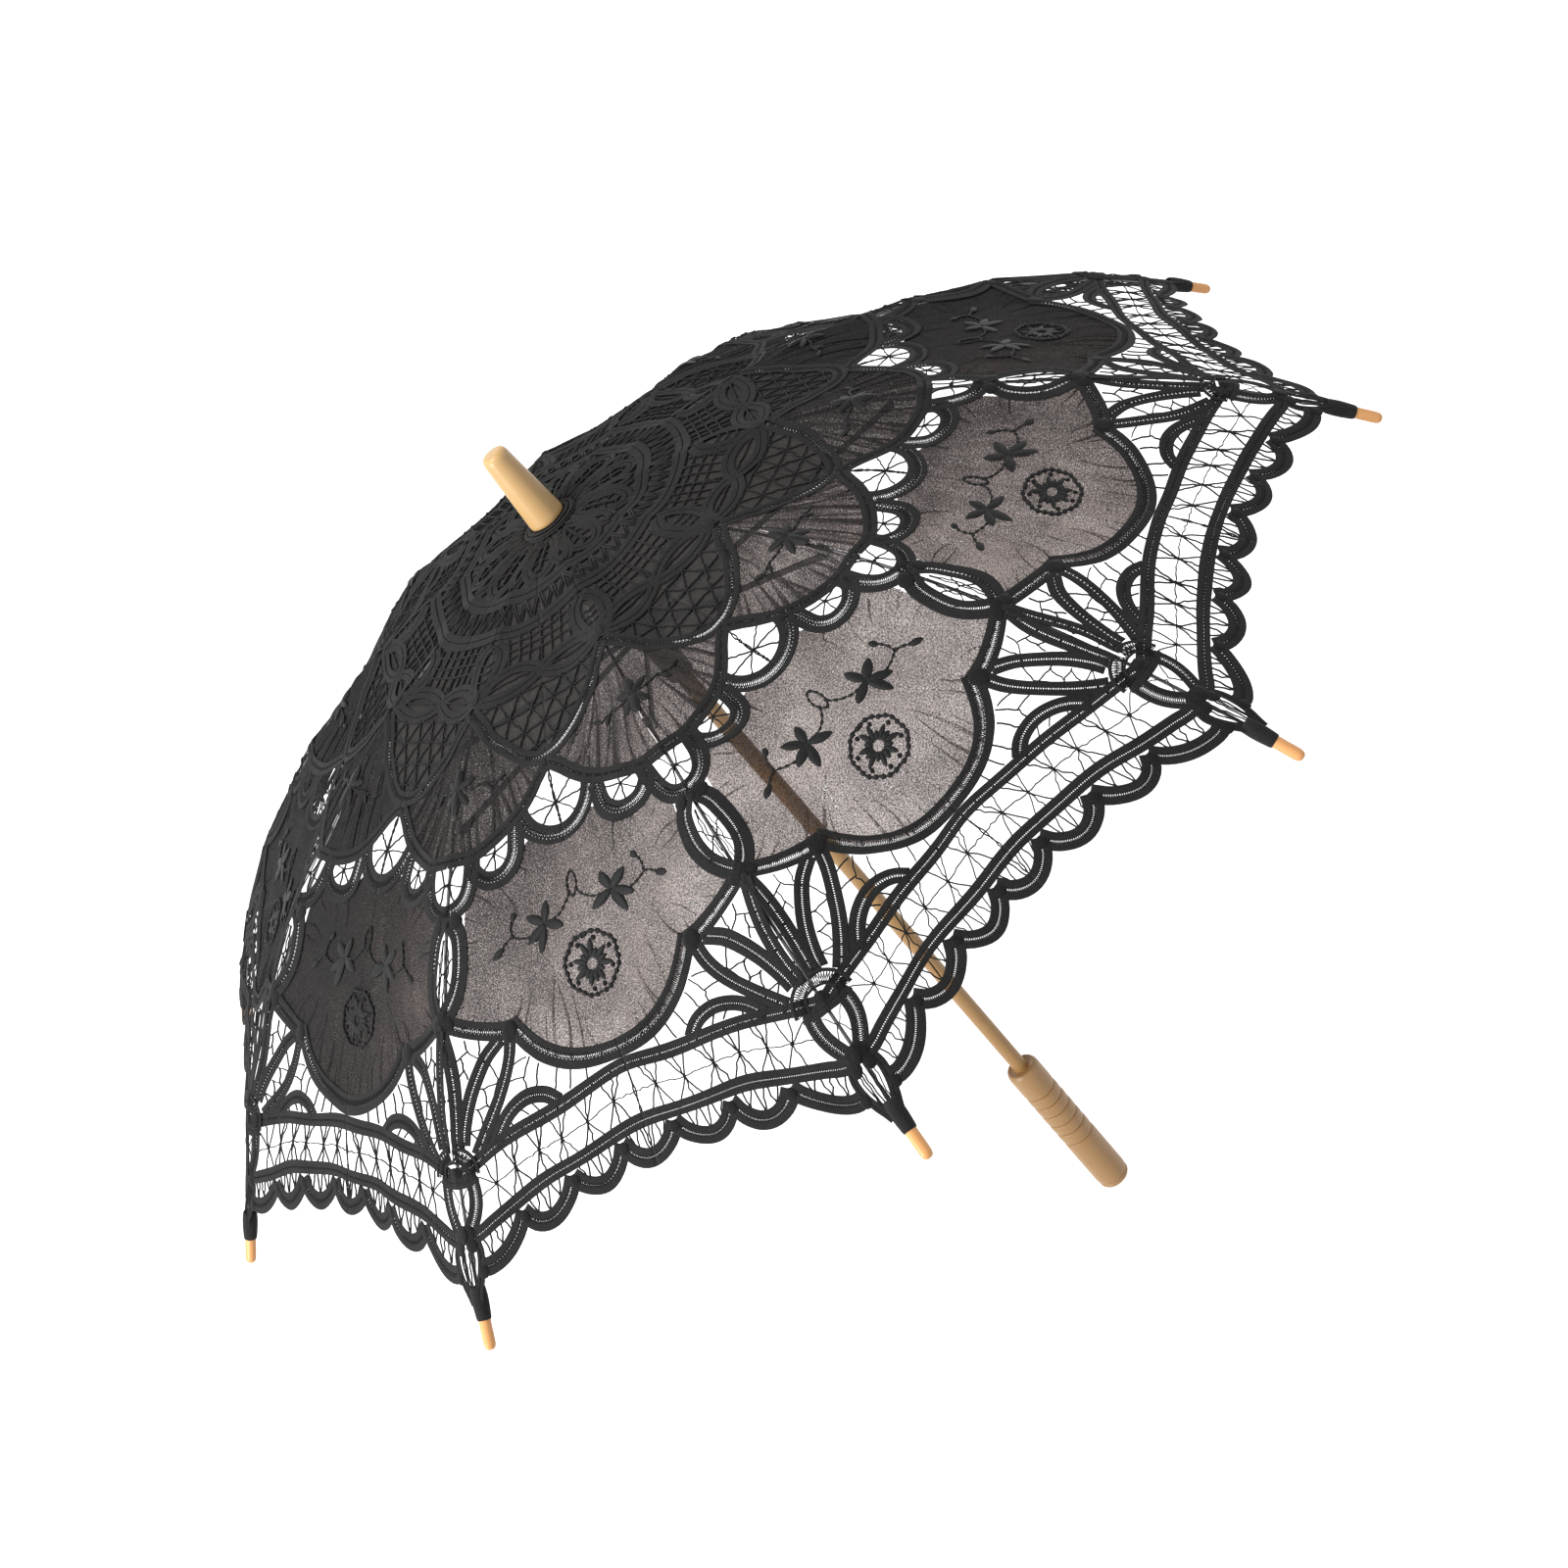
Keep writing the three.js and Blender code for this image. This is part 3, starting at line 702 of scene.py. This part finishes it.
def hem(weave):
    """Seven thread-filled scallops a panel, hung from the outer border."""
    border = along(OUTER_BORDER)
    pairs = zip(SCALLOP_NOTCHES, SCALLOP_NOTCHES[1:], SCALLOP_DEPTHS)
    for (y0, s0), (y1, s1), depth in pairs:
        t = np.linspace(0, 1, 9)
        drop = depth * np.sin(math.pi * t) ** 0.7
        line = np.stack([y0 + (y1 - y0) * t, s0 + (s1 - s0) * t + drop], axis=1)
        if y0 < 0:
            line = line[line[:, 0] >= -1e-6]
        tape(weave, line, (3.8, 3.8), 1.4, pitch=1.9, radius=0.3)
        knot(weave, (y1 - 0.4, s1 + 2.5), 3.2)
        for share in (0.28, 0.5, 0.72):
            y = y0 + (y1 - y0) * share
            if y < 0:
                continue
            low = s0 + (s1 - s0) * share + depth * math.sin(math.pi * share) ** 0.7 - 3
            bar(weave, [(y - 1.5, float(border(y)) + 2), (y + 0.5, low)], 0.45)
            bar(weave, [(y + 4, float(border(y + 4)) + 2), (y + 0.5, low)], 0.45)


def sleeve_point(weave):
    """The point of the hem that runs down the rib into the sleeve."""
    edge = [(388, 5), (394, 7.2), (401, 6.8), (408, 4.8), (413, 2.8), (417, 1.6)]
    tape(weave, [by_rib(u, d) for u, d in edge], (2.2, 2.2), 0)
    for d in (0.8, 2.4, 4):
        bar(weave, [by_rib(390, d), by_rib(415, d * 0.4)], 0.4)


def inner_embroidery(weave):
    """A small sprig across the rib."""
    heart = by_rib(171, 0)
    petal(weave, heart, by_rib(160, 0.4), 4)
    petal(weave, heart, by_rib(184, 0.4), 4.2)
    petal(weave, heart, by_rib(165, 9), 3.4)
    petal(weave, heart, by_rib(180, 7), 3.6)
    stitches(weave, [heart, by_rib(171, 8), by_rib(169, 15), by_rib(170, 22)])
    petal(weave, by_rib(170, 21), by_rib(166, 26), 2)
    petal(weave, by_rib(169, 15), by_rib(174, 20), 2)


ROSETTE = 292  # how far down the panel's middle the rosette's centre is


def on_rosette(radius, angle):
    """A point round the rosette's centre: angle 0 is towards the apex."""
    return (radius * math.sin(angle), ROSETTE - radius * math.cos(angle))


def medallion_embroidery(weave):
    """Two five-petal flowers on a looped stem, above a round rosette."""
    heart = (20, 263)
    for tip in [(17, 252), (30, 255), (8.5, 269), (32, 269.5), (25.5, 277)]:
        petal(weave, heart, tip, 4.3)
    stitches(weave, [(20, 264), (28, 266.5), (35, 265), (41, 262.5), (47, 266)])
    petal(weave, (46, 266), (52.5, 269.5), 3)
    stitches(weave, [(40, 262.5), (40, 258), (38, 253)])
    stitches(weave, [(18, 263), (11, 263), (5, 259), (1.5, 254)])
    stitches(weave, [(0, 258), (2.6, 254), (2.8, 249), (1.6, 245.5), (0, 244)])
    petal(weave, (38, 254), (35.5, 249.5), 2.6)
    turns = np.linspace(0, math.pi, 25)
    rim = [on_rosette(14 * (1 + 0.06 * abs(math.sin(4 * a))), a) for a in turns]
    stitches(weave, rim, radius=1.35)
    for k, a in enumerate(np.linspace(0.12, math.pi - 0.12, 8)):
        reach = (11.5, 7.5, 10.5, 8.5)[k % 4]
        petal(weave, on_rosette(2.6, a), on_rosette(reach, a + 0.12), 2.3)
        if k % 2:
            knot(weave, on_rosette(11.6, a - 0.15), 1.3)
    stitches(weave, [(0, 288), (3, 289.5), (4, 292), (3, 294.5), (0, 296)])


# -------------------- meshes
def mesh_from(name, points, faces, materials, indices=None):
    mesh = bpy.data.meshes.new(name)
    mesh.from_pydata(np.asarray(points, float).tolist(), [], faces)
    for material in materials:
        mesh.materials.append(material)
    if indices is not None:
        mesh.polygons.foreach_set("material_index", indices)
    mesh.polygons.foreach_set("use_smooth", [True] * len(mesh.polygons))
    mesh.update()
    return mesh


def link(name, mesh):
    made = bpy.data.objects.new(name, mesh)
    bpy.context.scene.collection.objects.link(made)
    return made


class Pattern:
    """One half panel's piece, ready to be placed beside every rib."""

    def __init__(self, name, points, faces, materials, indices=None):
        self.name = name
        self.points = np.asarray(points, float)
        flipped = [list(reversed(face)) for face in faces]
        self.meshes = {
            1: mesh_from(name, self.points, faces, materials, indices),
            -1: mesh_from(name, self.points, flipped, materials, indices),
        }

    def copy(self, rib, side):
        mesh = self.meshes[side].copy()
        placed = place(self.points, rib * STEP, side)
        mesh.vertices.foreach_set("co", placed.astype(np.float32).ravel())
        mesh.update()
        hand = "a" if side > 0 else "b"
        return link(f"{self.name}_{rib + 1:02d}{hand}", mesh)


def woven(name, makers):
    weave = Weave()
    for maker in makers:
        maker(weave)
    lace = [TAPE, THREAD, SILK]  # in the order of COTTON, LOOSE and SHINY
    return Pattern(name, np.vstack(weave.points), weave.faces, lace, weave.materials)


CLOTH_THICKNESS = 0.4


def gathers(edge, focus, count, reach, width):
    """Soft doubled folds that run in from a seam."""
    weave = Weave()
    seam = even(smooth(edge), 1)
    for k in range(count):
        start = seam[int((k + RNG.uniform(0.1, 0.9)) * len(seam) / count)]
        toward = np.asarray(focus, float) + RNG.normal(0, 6, 2) - start
        toward /= np.linalg.norm(toward)
        t = np.linspace(0, 1, 8)[:, None]
        bend = np.array([-toward[1], toward[0]]) * RNG.normal(0, 1.5) * np.sin(math.pi * t)
        line = start + toward * RNG.uniform(*reach) * t + bend
        section = circle_section(1, 6) * [width * RNG.uniform(0.5, 1), 0.22]
        weave.sweep(line, section, 0.15, scale=1 - 0.75 * t[:, 0])
    return weave


CLOTH_PITCH = 2.0


def cloth(name, top, bottom, width, material, pleats, folds=None, rows=40):
    """A thin closed sheet between two outlines, from the panel's middle to its widest point."""
    columns = np.linspace(0, width, max(3, round(width / CLOTH_PITCH)))
    v = np.linspace(0, 1, rows)
    high = top(columns)
    low = np.maximum(bottom(columns), high + 0.2)
    s = high[:, None] + (low - high)[:, None] * v[None]
    y = np.broadcast_to(columns[:, None], s.shape)
    face = np.stack([y, s, pleats(y, s)], axis=2).reshape(-1, 3)
    back = face - [0, 0, CLOTH_THICKNESS]
    count = len(face)
    i, j = np.meshgrid(np.arange(len(columns) - 1), np.arange(rows - 1), indexing="ij")
    first = (i * rows + j).reshape(-1)
    faces = np.stack([first, first + rows, first + rows + 1, first + 1], axis=1)
    behind = count + faces[:, ::-1]
    last = len(columns) - 1
    rim = list(range(rows)) + [k * rows + rows - 1 for k in range(1, last + 1)]
    rim += [last * rows + k for k in range(rows - 2, -1, -1)]
    rim += [k * rows for k in range(last - 1, 0, -1)]
    edge = [[a, b, b + count, a + count] for a, b in zip(rim, rim[1:] + rim[:1])]
    sheet = Weave()
    sheet.add(np.vstack([face, back]), faces.tolist() + behind.tolist() + edge, 0)
    if folds:
        sheet.add(np.vstack(folds.points), folds.faces, 0)
    return Pattern(name, np.vstack(sheet.points), sheet.faces, [material])


def fan(y0, s0, count, size):
    """Shallow pleats that spread from a point."""

    def height(y, s):
        angle = np.arctan2(y - y0, s - s0)
        reach = np.hypot(y - y0, s - s0)
        waves = np.sin(count * angle) + 0.6 * np.sin(2.3 * count * angle + 1)
        return size * waves * np.clip(reach / 60, 0, 1)

    return height


OUTER_MAKERS = [lens_ring, medallion_edge, leaves, border_band, rib_flower, hem, sleeve_point]
PANEL_PIECES = [
    (woven("lace_crown", [crown_zone]), "inner", "lace_tape"),
    (woven("lace_inner", [lobe_zone, eyelets]), "inner", "lace_tape"),
    (woven("lace_outer", OUTER_MAKERS), "outer", "lace_tape"),
    (woven("sprig_inner", [inner_embroidery]), "inner", "thread"),
    (woven("sprig_outer", [medallion_embroidery]), "outer", "thread"),
]
lobe_edge, scallop_edge = along(LOBE), along(SCALLOP)
medallion_top, medallion_bottom = along(MEDALLION_TOP), along(MEDALLION_BOTTOM)
VARIANTS = 3  # differently folded copies of each chiffon piece, used in turn
GATHER_EDGE = SCALLOP[1:-1]
MEDALLION_SIDE = [(22, 222), (32, 230), (48, 230), (62, 238), (69, 258), (78, 277)]


def inner_chiffon():
    return cloth(
        "chiffon_inner",
        lambda y: np.where(y < 41, lobe_edge(y) + 3, rib_s(y)),
        scallop_edge,
        66,
        CHIFFON,
        fan(41, 105, 46, 0.5),
        gathers(GATHER_EDGE, (42, 118), 11, (18, 60), 2),
    )


def outer_chiffon():
    folds = gathers(BOTTOM_LOBE, (14, 250), 9, (12, 42), 1.3)
    for edge, count in ((SIDE_TAPE, 5), (MEDALLION_SIDE, 6)):
        more = gathers(edge, (25, 265), count, (8, 24), 1.2)
        folds.add(np.vstack(more.points), more.faces, 0)
    return cloth(
        "chiffon_outer",
        medallion_top,
        medallion_bottom,
        86,
        CHIFFON,
        fan(0, 150, 34, 0.16),
        folds,
        rows=56,
    )


LINING_SHEET = cloth(
    "lining",
    lambda y: np.maximum(rib_s(y), 15),
    lambda y: lobe_edge(y) - 3,
    41,
    LINING,
    lambda y, s: -0.4 + 0.12 * np.sin(y * 1.3) * np.sin(s * 0.35),
    rows=60,
)
SHEETS = [
    ([LINING_SHEET], "inner", "lining"),
    ([inner_chiffon() for _ in range(VARIANTS)], "inner", "chiffon"),
    ([outer_chiffon() for _ in range(VARIANTS)], "outer", "chiffon"),
]


# -------------------- how the cloth rides the ribs
ZONES = {"inner": (110.0, ""), "outer": (300.0, "_end")}  # mid radius, and the body's ending


def fold_with(piece, rib, side, zone):
    """The piece rides its rib, with a mesh of its own."""
    radius, ending = ZONES[zone]
    slope = math.atan(-rib_slope(radius))
    across = Vector((-math.sin(HALF) * math.sin(slope) ** 2, side * math.cos(HALF), 0))
    across.z = -math.sin(HALF) * math.sin(slope) * math.cos(slope)
    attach(piece, f"rib_{rib + 1:02d}{ending}")
    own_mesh(piece)


def put_on_canopy(pattern, rib, side, zone):
    """A copy of the pattern beside a rib, in place of the CAD's canopy, which it hides."""
    piece = pattern.copy(rib, side)
    fold_with(piece, rib, side, zone)
    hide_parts("canopy")
    return piece


def make_canopy():
    for rib, side in ((rib, side) for rib in range(RIBS) for side in (1, -1)):
        for pattern, zone, slot in PANEL_PIECES:
            put_on_canopy(pattern, rib, side, zone)
        for patterns, zone, slot in SHEETS:
            pattern = patterns[(2 * rib + (side > 0)) % len(patterns)]
            piece = put_on_canopy(pattern, rib, side, zone)


make_canopy()


# -------------------- turned wood and wires
def lathe(name, profile, material, segments=64):
    """A turned piece about its own Z, from points (radius, height); one that comes back is a ring."""
    p = np.asarray(profile, float)
    ring = bool(np.allclose(p[0], p[-1]))
    if ring:
        p = p[:-1]
    angle = 2 * math.pi * np.arange(segments) / segments
    flat = p[:, None, :1] * np.stack([np.cos(angle), np.sin(angle)], axis=1)
    up = np.broadcast_to(p[:, None, 1:], (len(p), segments, 1))
    points = np.concatenate([flat, up], axis=2).reshape(-1, 3)
    faces = []
    for i in range(len(p) if ring else len(p) - 1):
        low = i * segments
        high = (i + 1) % len(p) * segments
        for j in range(segments):
            k = (j + 1) % segments
            faces.append([low + j, low + k, high + k, high + j])
    if not ring:
        faces.append(list(reversed(range(segments))))
        faces.append([(len(p) - 1) * segments + j for j in range(segments)])
    mesh = mesh_from(name, points * MM, faces, [material])
    return link(name, mesh)


def barrel(low, high, radius):
    """A turned ring that swells between two narrow grooves, up to the start of the next one."""
    length = high - low
    swell, groove = 0.6, 1.0
    profile = []
    for x in np.sin(np.linspace(-math.pi / 2, math.pi / 2, 41))[:-1]:
        inset = swell * abs(x) ** (0.33 * length) + groove * abs(x) ** (1.6 * length)
        profile.append((radius - inset, (low + high + x * length) / 2))
    return profile


def make_handle():
    profile = [(0.2, 0), (7.6, 0), (9.0, 0.3), (10.1, 1.1), (10.7, 2.2), (10.8, 3.2), (10.5, 4.1)]
    lines = [4.9, 49, 59.4, 68.4, 78, 87.2, 96.4, 118.6]
    for low, high in zip(lines, lines[1:]):
        profile += barrel(low, high, 11.2)
    while profile[-1][1] > 117.8:  # the last ring ends in the rounded top, without a groove
        profile.pop()
    profile += [(10.5, 118.2), (10.2, 119), (9.6, 119.7), (9.0, 119.9), (8.4, 119.6)]
    profile += [(7.2, 119.3), (5.6, 119.2), (5.1, 119.2)]
    handle = lathe("handle_turned", profile, HANDLE_WOOD, 96)
    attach(handle, "stick")
    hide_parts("handle")


def make_ferrule():
    profile = [(5.2, 607.9), (10.0, 607.9), (10.5, 608.2), (10.75, 608.8), (10.72, 610.5), (10.5, 613)]
    profile += [(10.5 - 2.6 * t, 613 + 38 * t) for t in np.linspace(0.05, 1, 14)]
    profile += [(7.75, 652.6), (7.4, 654), (6.8, 655.1), (6.0, 655.7), (5, 656), (0.2, 656)]
    ferrule = lathe("ferrule_turned", profile, FERRULE_WOOD, 96)
    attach(ferrule, "stick")
    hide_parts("ferrule")


def make_shaft():
    low, high = SHAFT_SPAN
    profile = [(SHAFT_RADIUS, z) for z in np.linspace(low, high, 30)]
    shaft = lathe("shaft_turned", profile, SHAFT_WOOD, 64)
    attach(shaft, "stick")
    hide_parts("shaft")


def find_tip():
    """Where a tip starts on the rib's curve, and its axis, in the rib's own plane."""
    for r in np.arange(TIP_RADIUS, 0, -0.05):
        height = float(rib_height(r))
        if math.hypot(TIP_RADIUS - r, height - TIP_HEIGHT) >= TIP_LENGTH:
            start = Vector((r, 0, height))
            return start, (Vector((TIP_RADIUS, 0, TIP_HEIGHT)) - start).normalized()


TIP_START, TIP_AXIS = find_tip()


def put_on_rib(piece, rib):
    """Moves a piece made along Z from 0 to the tip's place on that rib."""
    lean = Matrix.Rotation(math.atan2(TIP_AXIS.x, TIP_AXIS.z), 4, "Y")
    turn = Matrix.Rotation(rib * STEP, 4, "Z")
    piece.matrix_world = turn @ Matrix.Translation(TIP_START * MM) @ lean


def make_tip(rib):
    number = f"{rib + 1:02d}"
    profile = [(1.0, 0), (2.6, 0), (2.95, 0.6), (3, 3), (3, 22)]
    profile += [(2.9, 23.4), (2.55, 24.6), (2.0, 25.4), (1.1, 25.9), (0.1, 26)]
    tip = lathe(f"tip_{number}", profile, TIP_WOOD, 32)
    put_on_rib(tip, rib)
    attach(tip, f"rib_{number}_end")
    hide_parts(f"rib_{number}_tip")
    weave = [(3.1, -4.5), (3.5, -5), (3.9, -3.6), (4.15, 0), (4.1, 4), (3.85, 8), (3.7, 10)]
    weave += [(3.45, 11.2), (3.1, 11.4), (3.05, 10), (3.1, 2), (3.1, -4.5)]
    sleeve = lathe(f"sleeve_{number}", weave, TAPE, 32)
    put_on_rib(sleeve, rib)
    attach(sleeve, f"rib_{number}_end")
    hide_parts("canopy")


def rib_wire(name, path, radius):
    """A wire along a path (r, z) in the rib's plane."""
    sides = 12
    path = np.asarray(path, float)
    step = np.gradient(path, axis=0)
    step /= np.linalg.norm(step, axis=1)[:, None]
    normal = np.stack([-step[:, 1], step[:, 0]], axis=1)
    section = circle_section(radius, sides)
    flat = path[:, None] + normal[:, None] * section[None, :, :1]
    points = np.stack(
        [flat[..., 0], np.broadcast_to(section[:, 1], flat.shape[:2]), flat[..., 1]], axis=2
    ).reshape(-1, 3)
    faces = []
    for i in range(len(path) - 1):
        for j in range(sides):
            k = (j + 1) % sides
            faces.append([i * sides + j, (i + 1) * sides + j, (i + 1) * sides + k, i * sides + k])
    faces.append(list(range(sides)))
    faces.append([(len(path) - 1) * sides + j for j in reversed(range(sides))])
    return link(name, mesh_from(name, points * MM, faces, [RIB_METAL]))


def make_rib(rib):
    number = f"{rib + 1:02d}"
    turn = Matrix.Rotation(rib * STEP, 4, "Z")
    bend = BEND_RADIUS - JOINT_INSET
    inner = np.linspace(HINGE_RADIUS + JOINT_INSET, bend, 40)
    outer = np.linspace(bend, TIP_START.x, 44)
    spans = {"inner": inner, "outer": outer}
    for part, radii in spans.items():
        path = [(r, float(rib_height(r))) for r in radii]
        if part == "outer":
            end = TIP_START + TIP_AXIS * 9
            path.append((end.x, end.z))
        wire = rib_wire(f"rib_{number}_{part}_wire", path, RIB_WIRE)
        wire.matrix_world = turn
        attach(wire, f"rib_{number}" if part == "inner" else f"rib_{number}_end")
        if part == "outer":
            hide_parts(f"rib_{number}_outer")


make_handle()
make_ferrule()
make_shaft()
for rib in range(RIBS):
    make_tip(rib)
    make_rib(rib)


def make_cap():
    """The cloth round the shaft under the ferrule, and the tape ring that edges it."""
    profile = [(6.2, 607.0), (6.2, 606.4), (9, 606.6), (13, 606.2), (17.5, 605.7)]
    profile += [(17.5, 606.2), (13, 606.9), (9, 607.4), (6.2, 607.0)]
    cap = lathe("cap_cloth", profile, LINING, 60)
    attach(cap, "stick")
    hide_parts("canopy")
    ring = Weave()
    angle = 2 * math.pi * np.arange(90) / 90
    circle = np.stack([np.cos(angle), np.sin(angle)], axis=1)
    for radius, width in ((12.6, 2.6), (15.6, 2.6)):
        ring.sweep(circle * radius, band_section(width), 607.6 - 0.25 * (radius - 12.6), closed=True)
    mesh = mesh_from("cap_tape", np.vstack(ring.points) * MM, ring.faces, [TAPE], ring.materials)
    tape_ring = link("cap_tape", mesh)
    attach(tape_ring, "stick")
    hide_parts("canopy")


make_cap()


# -------------------- the CAD pieces that stay
def repaint(name, material):
    """Gives a CAD piece that is shown as it is its looks."""
    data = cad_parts[name].data
    data.materials.clear()
    data.materials.append(material)


repaint("crown", CROWN_PLASTIC)
repaint("crown_ring", STEEL)
repaint("runner", RUNNER_WOOD)
repaint("top_catch", STEEL)
for rib in range(RIBS):
    number = f"{rib + 1:02d}"
    repaint(f"rib_{number}_inner", RIB_METAL)
    repaint(f"rib_{number}_clip", STEEL)
    repaint(f"stretcher_{number}", RIB_METAL)


# -------------------- stage and light
def make_floor():
    """A pale floor that curves up into a wall far away: it lights nothing and takes no shadow."""
    material, tree, shader = new_material("floor")
    tint = noise(tree, object_coords(tree, (1, 1, 1)), 2, 2)
    color = ramp(tree, tint, [(0, (0.78, 0.78, 0.78)), (1, (0.82, 0.82, 0.82))])
    tree.links.new(color, shader.inputs["Base Color"])
    glow = {"Emission Color": (1, 1, 1, 1), "Emission Strength": 0.95}
    set_inputs(shader, {"Roughness": 0.9, **glow})
    drop, flat, rise, segments = 0.0004, 20.0, 8.0, 96
    turns = 2 * math.pi * np.arange(segments) / segments
    bend = np.linspace(0, math.pi / 2, 9)
    profile = [(flat + rise * math.sin(a), rise * (1 - math.cos(a)) - drop) for a in bend]
    profile.append((flat + rise, 25))
    points = [(r * math.cos(a), r * math.sin(a), z) for r, z in profile for a in turns]
    faces = [list(range(segments))]
    for k in range(len(profile) - 1):
        low = k * segments
        high = low + segments
        for m in range(segments):
            after = (m + 1) % segments
            faces.append([low + m, high + m, high + after, low + after])
    floor = link("floor", mesh_from("floor", points, faces, [material]))
    floor.visible_diffuse = False
    floor.visible_shadow = False


def soft_light(name, position, target, size, power):
    """A round lamp, in metres and watts, turned towards its target."""
    data = bpy.data.lights.new(name, "AREA")
    data.shape = "DISK"
    data.size = size
    data.energy = power
    light = bpy.data.objects.new(name, data)
    bpy.context.scene.collection.objects.link(light)
    direction = Vector(target) - Vector(position)
    turn = direction.to_track_quat("-Z", "Y").to_matrix().to_4x4()
    light.matrix_world = Matrix.Translation(position) @ turn


def make_light():
    world = bpy.data.worlds.new("studio")
    world.use_nodes = True
    set_inputs(world.node_tree.nodes["Background"], {"Color": (1, 1, 1, 1), "Strength": 0.45})
    bpy.context.scene.world = world
    soft_light("key", (-1.0, 0.3, 2.6), (0, 0, 0.5), 1.0, 36)
    soft_light("low", (-1.9, 0.7, 0.75), (0, 0, 0.1), 0.7, 26)
    bpy.context.scene.view_settings.view_transform = "Standard"


make_floor()
make_light()
